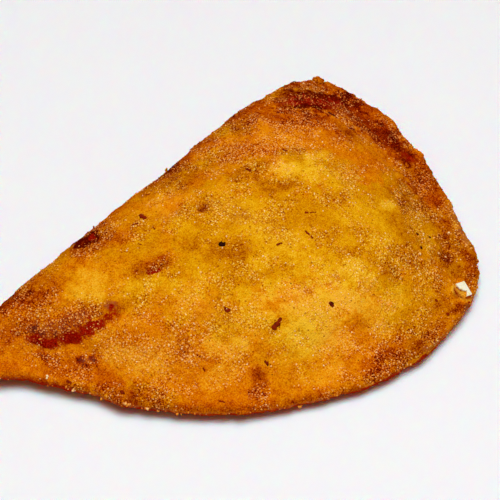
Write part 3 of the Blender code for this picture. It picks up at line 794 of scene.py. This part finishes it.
def makeCrust(finish):
    crust = roundedCopy(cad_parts["empanada"])
    smoothAway(crust, distanceToRim(arrayOf(crust.data), arrayOf(crust.data, normals=True)))
    mesh = crust.data
    points, normals = arrayOf(mesh), arrayOf(mesh, normals=True)
    toRim = distanceToRim(points, normals)
    low, high = (np.array(corner) for corner in cadBox)
    fromFold = (high[1] - points[:, 1]) / mm
    onSeal = smoothstep(*crustShape["sealFrom"], fromFold)
    surface = BVHTree.FromObject(crust, bpy.context.evaluated_depsgraph_get())
    uneven = cloudAt(points, strokeLook["coarseSize"], seed=1) * strokeLook["coarse"]
    uneven = uneven + cloudAt(points, strokeLook["fineSize"], seed=2, octaves=2) * strokeLook["fine"]

    shape = crustShape
    lift = strokesTogether(points, surface, relief, uneven * strokeLook["reliefBorder"])
    lift += cloudAt(points, shape["swellSize"], seed=3, octaves=2) * shape["swell"]
    lift += cloudAt(points, shape["blisterSize"], seed=4) * shape["blister"]
    lift += cloudAt(points, shape["grainSize"], seed=5, octaves=2) * shape["grain"]
    nibble = shape["nibble"] * smoothstep(*shape["nibbleReach"], toRim / mm)
    nibble = nibble * (shape["foldNibble"] + (1.0 - shape["foldNibble"]) * onSeal)
    lift += cloudAt(points, shape["nibbleSize"], seed=6, octaves=2) * nibble
    free = smoothstep(*shape["stillBelow"], points[:, 2] / mm)
    push = shape["push"] * mm * smoothstep(*shape["pushReach"], toRim / mm)
    push = push * onSeal * smoothstep(*shape["pushFrom"], points[:, 0] / mm)
    moved = points + normals * (lift * mm * free)[:, None]
    moved += normals * (1.0, 1.0, 0.0) * push[:, None]
    movedTo(mesh, np.clip(moved, low, high))

    top = smoothstep(*browning["topFrom"], normals[:, 2])
    brown = np.full(len(points), browning["base"])
    brown += browning["rim"] * smoothstep(browning["rimReach"], 0.0, toRim / mm) * top
    brown += browning["fold"] * smoothstep(browning["foldReach"], 0.0, fromFold)
    brown += browning["under"] * (1.0 - top)
    brown += strokesTogether(points, surface, browner, uneven)
    brown -= strokesTogether(points, surface, brighter, uneven)
    pale = strokesTogether(points, surface, paler, uneven)
    thick = cloudAt(points, drifts["size"], seed=8) * drifts["cloud"] + pale * drifts["pale"]
    thick += strokesTogether(points, surface, grittier, uneven)
    broken = smoothstep(*tornRimSheenAndShade["brokenFrom"], cloudAt(points, tornRimSheenAndShade["brokenSize"], seed=9, octaves=2))
    onEdge = smoothstep(*tornRimSheenAndShade["reach"], toRim / mm) * onSeal
    shaded = smoothstep(*tornRimSheenAndShade["shadedFrom"], normals[:, 2])
    side = onEdge * smoothstep(*tornRimSheenAndShade["underFrom"], normals[:, 2]) * (1.0 - shaded)
    leastLip, leastCrumbs = tornRimSheenAndShade["leastLip"], tornRimSheenAndShade["leastCrumbs"]

    storeValue(mesh, "browning", brown)
    storeValue(mesh, "redness", np.clip(strokesTogether(points, surface, redder, uneven), 0, 1))
    storeValue(mesh, "plum", np.clip(strokesTogether(points, surface, plummier, uneven), 0, 1))
    storeValue(mesh, "paleness", np.clip(pale, 0, 1))
    storeValue(mesh, "amber", strokesTogether(points, surface, yellower, uneven))
    storeValue(mesh, "onTop", top)
    storeValue(mesh, "drift", top * smoothstep(*drifts["from"], thick))
    # lip: pale torn crumbs and a painted rim highlight on the side of the edge
    storeValue(mesh, "lip", side * (broken * (1.0 - leastLip) + leastLip))
    # wall: painted shade where the seal's edge faces down
    storeValue(mesh, "wall", onEdge * shaded)
    storeValue(mesh, "torn", side * (broken * (1.0 - leastCrumbs) + leastCrumbs))
    mesh.materials.clear()
    mesh.materials.append(finish)
    mesh.shade_smooth()
    print("crust:", len(mesh.polygons), "faces")
    return crust


grainShape = {
    "flattest": (0.7, 0.5, 0.4), "longest": (1.7, 1.0, 0.8),    # in grain sizes
    "lumpSize": 0.8, "lump": 0.55,       # in largest and smallest sizes
    "roundness": 1,                      # subdivisions of a grain
    "floorGap": 0.02,
}


# Geometry Nodes: grains strewn over a surface, thicker where the named attribute is high
def strewTree(name, inputs, attribute):
    tree = bpy.data.node_groups.new(name, "GeometryNodeTree")
    tree.interface.new_socket("Surface", in_out="INPUT", socket_type="NodeSocketGeometry")
    tree.interface.new_socket("Grains", in_out="OUTPUT", socket_type="NodeSocketGeometry")
    for label in inputs:
        kind = "NodeSocketInt" if label in ("Seed", "Roundness") else "NodeSocketFloat"
        tree.interface.new_socket(label, in_out="INPUT", socket_type=kind)
    tree.interface.new_socket("Finish", in_out="INPUT", socket_type="NodeSocketMaterial")
    bench = Bench(tree)
    given = bench.node("NodeGroupInput")

    def take(label):
        return Wire(bench, given.socket.node.outputs[label])

    def anyVector(least, most, seedStep):
        sockets = {0: least, 1: most, "Seed": take("Seed") + seedStep}
        return bench.node("FunctionNodeRandomValue", {"data_type": "FLOAT_VECTOR"}, sockets)

    thickness = bench.node("GeometryNodeInputNamedAttribute", {"data_type": "FLOAT"}, {"Name": attribute})
    strewn = bench.node(
        "GeometryNodeDistributePointsOnFaces", {"distribute_method": "POISSON"},
        {"Mesh": take("Surface"), "Distance Min": take("Spacing"), "Density Max": take("Density"),
         "Density Factor": thickness, "Seed": take("Seed")},
    )
    normal = Wire(bench, strewn.socket.node.outputs["Normal"])
    sunk = bench.node("ShaderNodeVectorMath", {"operation": "SCALE"}, {0: normal, "Scale": take("Lift")})
    seated = bench.node("GeometryNodeSetPosition", {}, {"Geometry": strewn, "Offset": sunk})
    size = bench.node(
        "FunctionNodeRandomValue", {"data_type": "FLOAT"},
        {2: take("Smallest"), 3: take("Largest"), "Seed": take("Seed")}, 1,
    )
    squash = anyVector(grainShape["flattest"], grainShape["longest"], 3)
    scale = bench.node("ShaderNodeVectorMath", {"operation": "SCALE"}, {0: squash, "Scale": size})
    turn = anyVector((0.0, 0.0, 0.0), (math.tau, math.tau, math.tau), 5)
    grain = bench.node("GeometryNodeMeshIcoSphere", {}, {"Radius": 0.5, "Subdivisions": take("Roundness")})
    placed = bench.node(
        "GeometryNodeInstanceOnPoints", {},
        {"Points": seated, "Instance": grain, "Rotation": turn, "Scale": scale},
    )
    tint = bench.node("FunctionNodeRandomValue", {"data_type": "FLOAT"}, {"Seed": take("Seed") + 7}, 1)
    tinted = bench.node(
        "GeometryNodeStoreNamedAttribute", {"data_type": "FLOAT", "domain": "INSTANCE"},
        {"Geometry": placed, "Name": "tint", "Value": tint},
    )
    solid = bench.node("GeometryNodeRealizeInstances", {}, {"Geometry": tinted})
    wobble = bench.node("ShaderNodeTexNoise", {}, {"Scale": take("Unevenness Scale")}, "Color")
    shift = bench.shifts(wobble, take("Unevenness"))
    rough = bench.node("GeometryNodeSetPosition", {}, {"Geometry": solid, "Offset": shift})
    dressed = bench.node("GeometryNodeSetMaterial", {}, {"Geometry": rough, "Material": take("Finish")})
    bench.node("NodeGroupOutput", {}, {"Grains": dressed})
    return tree


def strew(name, crust, settings, attribute, finish):
    smallest, largest = settings["size"]
    inputs = {
        "Spacing": settings["spacing"] * mm,
        "Density": settings["perSquareMm"] / mm**2,
        "Lift": settings["lift"] * mm,
        "Smallest": smallest * mm,
        "Largest": largest * mm,
        "Unevenness Scale": 1.0 / (largest * grainShape["lumpSize"] * mm),
        "Unevenness": smallest * grainShape["lump"] * mm,
        "Roundness": grainShape["roundness"],
        "Seed": settings["seed"],
    }
    tree = strewTree(name, inputs, attribute)
    piece = bpy.data.objects.new(name, crust.data.copy())
    bpy.context.scene.collection.objects.link(piece)
    modifier = piece.modifiers.new(name, "NODES")
    modifier.node_group = tree
    for item in tree.interface.items_tree:
        if item.in_out == "INPUT" and item.name in inputs:
            modifier[item.identifier] = inputs[item.name]
        elif item.in_out == "INPUT" and item.name == "Finish":
            modifier[item.identifier] = finish
    bpy.context.view_layer.update()
    piece.data = plainMesh(piece, name)
    piece.modifiers.clear()
    points = arrayOf(piece.data)
    points[:, 2] = np.maximum(points[:, 2], grainShape["floorGap"] * mm)
    movedTo(piece.data, points)
    piece.data.shade_smooth()
    print(name + ":", len(piece.data.polygons), "faces")
    return piece


cornGrit = {"size": (0.32, 0.64), "spacing": 0.5, "perSquareMm": 1.15, "lift": -0.06, "seed": 11}
toastedGrit = {"size": (0.3, 0.6), "spacing": 0.5, "perSquareMm": 0.6, "lift": -0.08, "seed": 23}
rimCrumbs = {"size": (0.24, 0.62), "spacing": 0.36, "perSquareMm": 3.0, "lift": 0.05, "seed": 37}
darkSpecks = {"size": (0.18, 0.4), "spacing": 1.5, "perSquareMm": 0.025, "lift": 0.0, "seed": 53}


# a bmesh as a mesh, with one value of each attribute for all of it
def looseMesh(shape, values):
    mesh = bpy.data.meshes.new("loose")
    shape.to_mesh(mesh)
    shape.free()
    for name, value in values.items():
        storeValue(mesh, name, np.full(len(mesh.vertices), value))
    return mesh


def joined(name, meshes, finish):
    whole = bmesh.new()
    for mesh in meshes:
        whole.from_mesh(mesh)
        bpy.data.meshes.remove(mesh)
    mesh = looseMesh(whole, {})
    mesh.name = name
    mesh.shade_smooth()
    return pieceOf(name, mesh, finish)


def pieceOf(name, mesh, finish):
    mesh.materials.append(finish)
    piece = bpy.data.objects.new(name, mesh)
    bpy.context.scene.collection.objects.link(piece)
    print(name + ":", len(mesh.polygons), "faces")
    return piece


# Scorched flecks that can be told apart: both ends in photo pixels, width in
# millimetres, and how charred they are
flecks = {
    "middle": ((221.0, 244.7), (224.2, 243.8), 1.3, 1.0),
    "lower middle, long": ((273, 328), (281.5, 319), 1.15, 0.4),
    "lower middle, left": ((225.5, 309.5), (229.5, 310.5), 0.95, 0.4),
    "right of the pale patch": ((329.5, 302.5), (333, 306), 1.1, 0.6),
    "above the knot": ((265, 361), (268.5, 365), 0.7, 0.6),
    "upper right": ((277, 245), (281.5, 243), 0.5, 0.5),
    "near the fold": ((140.5, 215.5), (145.5, 218.5), 1.15, 0.35),
    "near the fold, small": ((132, 225), (138, 223), 0.55, 0.3),
    "far, with a dot": ((247, 169), (250.5, 171), 0.8, 0.4),
    "far left": ((277, 112.5), (281, 112.5), 0.75, 0.5),
    "fold, left": ((146, 195), (150, 194), 0.55, 0.5),
    "fold edge": ((290.5, 83.5), (294, 81.5), 0.8, 0.7),
    "right, first": ((416.8, 234), (417.8, 234.3), 0.72, 0.75),
    "right, second": ((429, 237.1), (430.6, 237.6), 0.7, 0.75),
    "right, third": ((420.6, 247.1), (421.6, 248.1), 0.74, 0.75),
    "flank": ((435.8, 299.4), (436.8, 301.2), 0.7, 0.2),
    "flank, low": ((447.3, 313.4), (448.7, 314.8), 0.75, 0.35),
    "below the far band": ((349, 128), (354, 129.5), 0.7, 0.6),
    "far band, olive": ((329, 112.5), (334, 116), 0.8, 0.7),
    "upper band": ((282.5, 149), (287, 151), 0.6, 0.3),
    "below the upper band": ((305.5, 213), (308, 213), 0.6, 0.2),
    "below the upper band, tail": ((310, 212.5), (316, 212), 0.35, 0.1),
    "right of the centre": ((305, 231), (313, 238), 0.5, 0.3),
    "low left": ((121, 391.5), (124, 393), 0.8, 0.5),
    "left, low": ((67, 381), (71, 383), 0.6, 0.3),
    "knot, first": ((263, 392), (265, 396), 0.5, 0.4),
    "lower left": ((197, 355), (200, 357), 0.5, 0.2),
    "lower left, second": ((203, 368), (205, 370.5), 0.45, 0.2),
    "left of centre": ((153, 227), (155, 229), 0.45, 0.3),
    "left of centre, low": ((138, 244), (141, 245), 0.45, 0.3),
    "low rim": ((219, 401), (224, 402.5), 0.6, 0.3),
}


fleckLook = {
    "fewest": 3, "pitch": 0.35,          # chips in a row, this many widths apart
    "radius": (0.36, 0.55), "aside": 0.16,
    "strays": 2, "strayRadius": (0.1, 0.18), "strayAlong": (-0.2, 1.2), "strayAside": 0.9,
    "ragged": 0.6, "raggedScale": 1.7, "flatness": 0.5,
    "tintSpread": 0.15,
}


# a fleck of scorched dough: a few thin ragged chips in a row, half sunk in the crust
def addFleck(surface, ends, width, charred, seed):
    (start, normal), (end, _) = (pixelOn(surface, pixel) for pixel in ends)
    look = fleckLook
    draw = random.Random(seed)
    along = end - start
    across = normal.cross(along).normalized()
    axes = Matrix((along.normalized(), across, normal)).transposed().to_4x4()
    count = max(look["fewest"], round(along.length / (width * look["pitch"] * mm)))
    chips = []
    for step in range(count + look["strays"]):
        stray = step >= count
        share = draw.uniform(*look["strayAlong"]) if stray else (step + 0.5) / count
        side = draw.uniform(-1.0, 1.0) * look["strayAside" if stray else "aside"] * width * mm
        radius = width * mm * draw.uniform(*look["strayRadius" if stray else "radius"])
        chip = bmesh.new()
        bmesh.ops.create_icosphere(chip, subdivisions=2, radius=1.0)
        for vert in chip.verts:
            shift = Vector((seed * 1.7, step * 2.3, seed * 0.9))
            vert.co *= (1.0 + look["ragged"] * noise.noise(vert.co * look["raggedScale"] + shift)) * radius
            vert.co.z *= look["flatness"]
        axes.translation = start + along * share + across * side
        chip.transform(axes)
        tint = 1.0 - charred + draw.uniform(-look["tintSpread"], look["tintSpread"])
        chips.append(looseMesh(chip, {"tint": tint}))
    return chips


def makeFlecks(surface, finish):
    chips = []
    for number, (start, end, width, charred) in enumerate(flecks.values()):
        chips += addFleck(surface, (start, end), width, charred, number)
    return joined("scorchedFlecks", chips, finish)


# Crumbs that stand clear of the outline: photo pixel, radius in millimetres, how pale and how browned
standingCrumbs = {
    "nub, left lobe": ((315.4, 80.4), 1.0, 0.1, 0.5),
    "nub, right lobe": ((320.4, 79.8), 0.95, 0.2, 0.42),
    "nub, foot": ((318.0, 82.4), 1.1, 0.05, 0.55),
    "nub, side": ((322.6, 83.0), 0.6, 0.2, 0.5),
    "front, cluster": ((121.4, 403.0), 0.7, 0.1, 0.6),
    "front, cluster right": ((126.4, 403.6), 0.5, 0.5, 0.5),
    "front, cluster end": ((129.6, 404.8), 0.4, 0.6, 0.5),
    "front, small": ((101.0, 399.0), 0.4, 0.5, 0.4),
    "front, pale": ((74.4, 389.8), 0.5, 0.95, 0.3),
    "front, pale second": ((147.5, 408.6), 0.34, 0.9, 0.3),
    "front, tooth": ((176.5, 413.6), 0.36, 0.45, 0.5),
    "front, tooth right": ((181.5, 413.8), 0.3, 0.6, 0.5),
    "front, flat": ((158.0, 410.2), 0.32, 0.45, 0.5),
    "front, middle": ((240.5, 413.6), 0.6, 0.3, 0.6),
    "front, right": ((300.0, 405.6), 0.5, 0.5, 0.5),
    "pale crumb on the slope": ((47.0, 377.0), 0.4, 1.0, 0.2),
    "blunt side": ((476.5, 262.0), 0.5, 0.2, 0.6),
    "blunt side, upper": ((471.0, 246.0), 0.4, 0.3, 0.4),
    "fold, left": ((94.0, 228.0), 0.36, 0.1, 0.8),
    "fold, middle": ((166.0, 169.5), 0.5, 0.1, 0.6),
    "fold, right": ((240.0, 112.0), 0.4, 0.1, 0.6),
    "cream, right": ((419.4, 254.4), 0.42, 1.0, 0.1),
    "pale, right strip": ((448.8, 233.8), 0.36, 0.8, 0.1),
    "pale dash, right": ((438.0, 253.6), 0.3, 0.8, 0.2),
    "pale dash's end, right": ((445.5, 257.6), 0.3, 0.7, 0.2),
}
standingLook = {
    "paleFrom": 0.4,                     # a crumb paler than this has the grit's finish
    "grains": 7, "spread": 0.6, "share": (0.3, 0.62), "raise": 0.3,     # in radii of the crumb
    "lump": 0.5, "lumpScale": 1.6,
    "paleSpread": 0.3, "brownSpread": 0.15, "drift": 0.5,
    "floorGap": 0.05,
}


# a crumb: a clump of lumpy grains
def addCrumb(surface, pixel, radius, paleness, browned, seed):
    place, normal = pixelOn(surface, pixel)
    look = standingLook
    draw = random.Random(seed)
    grains = []
    for step in range(look["grains"]):
        grain = bmesh.new()
        bmesh.ops.create_icosphere(grain, subdivisions=2, radius=1.0)
        stray = Vector([draw.uniform(-1.0, 1.0) for _ in range(3)]) * look["spread"]
        share = draw.uniform(*look["share"])
        seat = place + (normal * look["raise"] + stray) * radius * mm
        for vert in grain.verts:
            shift = Vector((seed * 2.9, step * 1.7, 0.0))
            lumpy = noise.fractal(vert.co * look["lumpScale"] + shift, 0.7, 2.1, 3)
            vert.co = seat + vert.co * (1.0 + look["lump"] * lumpy) * share * radius * mm
            vert.co.z = max(vert.co.z, look["floorGap"] * mm)
        tint = paleness + draw.uniform(-look["paleSpread"], look["paleSpread"])
        brown = browned + draw.uniform(-look["brownSpread"], look["brownSpread"])
        grains.append(looseMesh(grain, {"tint": tint, "browning": brown, "drift": look["drift"]}))
    return grains


def makeStandingCrumbs(surface, name, pale, finish):
    grains = []
    for number, (pixel, radius, paleness, browned) in enumerate(standingCrumbs.values()):
        if (paleness > standingLook["paleFrom"]) == pale:
            grains += addCrumb(surface, pixel, radius, paleness, browned, number)
    return joined(name, grains, finish)


paleChip = {
    "on": (464, 289),            # pixel at which the solid's own flake shows
    "corners": [(456.2, 283.6), (464.3, 280.9), (472.3, 294.0), (467.4, 295.9), (467.6, 290.7),
                (464.2, 290.2), (460.4, 288.6)],
    "lift": 0.35,
    "thickness": 0.4,
    "rounding": 0.05,
    "unevenSize": 0.9, "unevenness": 0.03,
}


# a slab with the corners seen in the photo, lying in the plane of the solid's own flake
def makeFlake(solid, finish):
    centre, normal = pixelOn(solid, paleChip["on"])
    plane = centre + normal * paleChip["lift"] * mm
    slab = bmesh.new()
    top = []
    for pixel in paleChip["corners"]:
        ray = pixelRay(pixel)
        reach = (plane - camera.location).dot(normal) / ray.dot(normal)
        top.append(slab.verts.new(camera.location + ray * reach))
    face = slab.faces.new(top)
    face.normal_update()
    if face.normal.dot(normal) < 0:
        face.normal_flip()
    grown = bmesh.ops.extrude_face_region(slab, geom=[face])
    for vert in [v for v in grown["geom"] if isinstance(v, bmesh.types.BMVert)]:
        vert.co -= normal * paleChip["thickness"] * mm
    bmesh.ops.recalc_face_normals(slab, faces=slab.faces)
    bmesh.ops.bevel(slab, geom=slab.edges, offset=paleChip["rounding"] * mm, segments=3, affect="EDGES")
    bmesh.ops.triangulate(slab, faces=slab.faces)
    bmesh.ops.subdivide_edges(slab, edges=slab.edges, cuts=2, use_grid_fill=True)
    for vert in slab.verts:
        shift = Vector(noise.noise_vector(vert.co / (paleChip["unevenSize"] * mm)))
        vert.co += shift * paleChip["unevenness"] * mm
    mesh = looseMesh(slab, {})
    mesh.name = "paleFlake"
    return pieceOf("paleFlake", mesh, finish)


studio = {
    "floor": tone(248, 249, 249), "floorRoughness": 0.25, "floorSize": 6.0,
    "glow": (3.2, 1.2, 0.8),     # how far red, green and blue light travel in the floor
    "world": tone(255, 168, 128), "worldStrength": 0.2,
    "keyPlace": (-60.0, -140.0, 1500.0), "keySize": 1050.0, "keyPower": 25.3, "keyColour": (0.85, 0.98, 1.04),
    "fillPlace": (-420.0, -320.0, 640.0), "fillSize": 700.0, "fillPower": 0.3, "fillColour": (1.0, 0.8, 0.7),
}


def areaLight(name):
    light = bpy.data.lights.new(name + "Light", "AREA")
    light.color = studio[name + "Colour"]
    light.size = studio[name + "Size"] * mm
    light.energy = studio[name + "Power"]
    made = bpy.data.objects.new(name + "Light", light)
    bpy.context.scene.collection.objects.link(made)
    made.location = Vector(studio[name + "Place"]) * mm
    made.rotation_mode = "QUATERNION"
    made.rotation_quaternion = (-made.location).to_track_quat("-Z", "Y")


def makeStudio():
    paint = Finish("floorGlaze", {
        "Base Color": studio["floor"], "Roughness": studio["floorRoughness"], "Subsurface Weight": 1.0,
        "Subsurface Radius": [reach * mm for reach in studio["glow"]], "Subsurface Scale": 1.0,
    })
    bpy.ops.mesh.primitive_plane_add(size=studio["floorSize"])
    floor = bpy.context.object
    floor.name = "floor"
    floor.data.materials.append(paint.material)
    world = bpy.data.worlds.new("studioWorld")
    world.use_nodes = True
    world.node_tree.nodes["Background"].inputs["Color"].default_value = studio["world"]
    world.node_tree.nodes["Background"].inputs["Strength"].default_value = studio["worldStrength"]
    bpy.context.scene.world = world
    areaLight("key")
    areaLight("fill")
    bpy.context.scene.view_settings.view_transform = "Standard"
    bpy.context.scene.view_settings.look = "None"
    print("studio: floor, world and two lights")


makeStudio()
crustPaint, gritPaint, scorchPaint = friedCrust(), cornGritFinish(), scorchedFinish()
solid = BVHTree.FromObject(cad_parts["empanada"], bpy.context.evaluated_depsgraph_get())
crust = makeCrust(crustPaint)
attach(crust, "root")
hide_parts("empanada")

bpy.context.view_layer.update()
surface = BVHTree.FromObject(crust, bpy.context.evaluated_depsgraph_get())
for piece in (
    strew("cornGrit", crust, cornGrit, "drift", gritPaint),
    strew("toastedGrit", crust, toastedGrit, "onTop", crustPaint),
    strew("rimCrumbs", crust, rimCrumbs, "torn", gritPaint),
):
    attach(piece, "root")

for piece in (strew("darkSpecks", crust, darkSpecks, "onTop", scorchPaint), makeFlecks(surface, scorchPaint)):
    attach(piece, "root")

for piece in (
    makeStandingCrumbs(surface, "standingCrumbs", False, crustPaint),
    makeStandingCrumbs(surface, "paleCrumbs", True, gritPaint),
):
    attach(piece, "root")

flake = makeFlake(solid, paleDoughFinish())
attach(flake, "root")
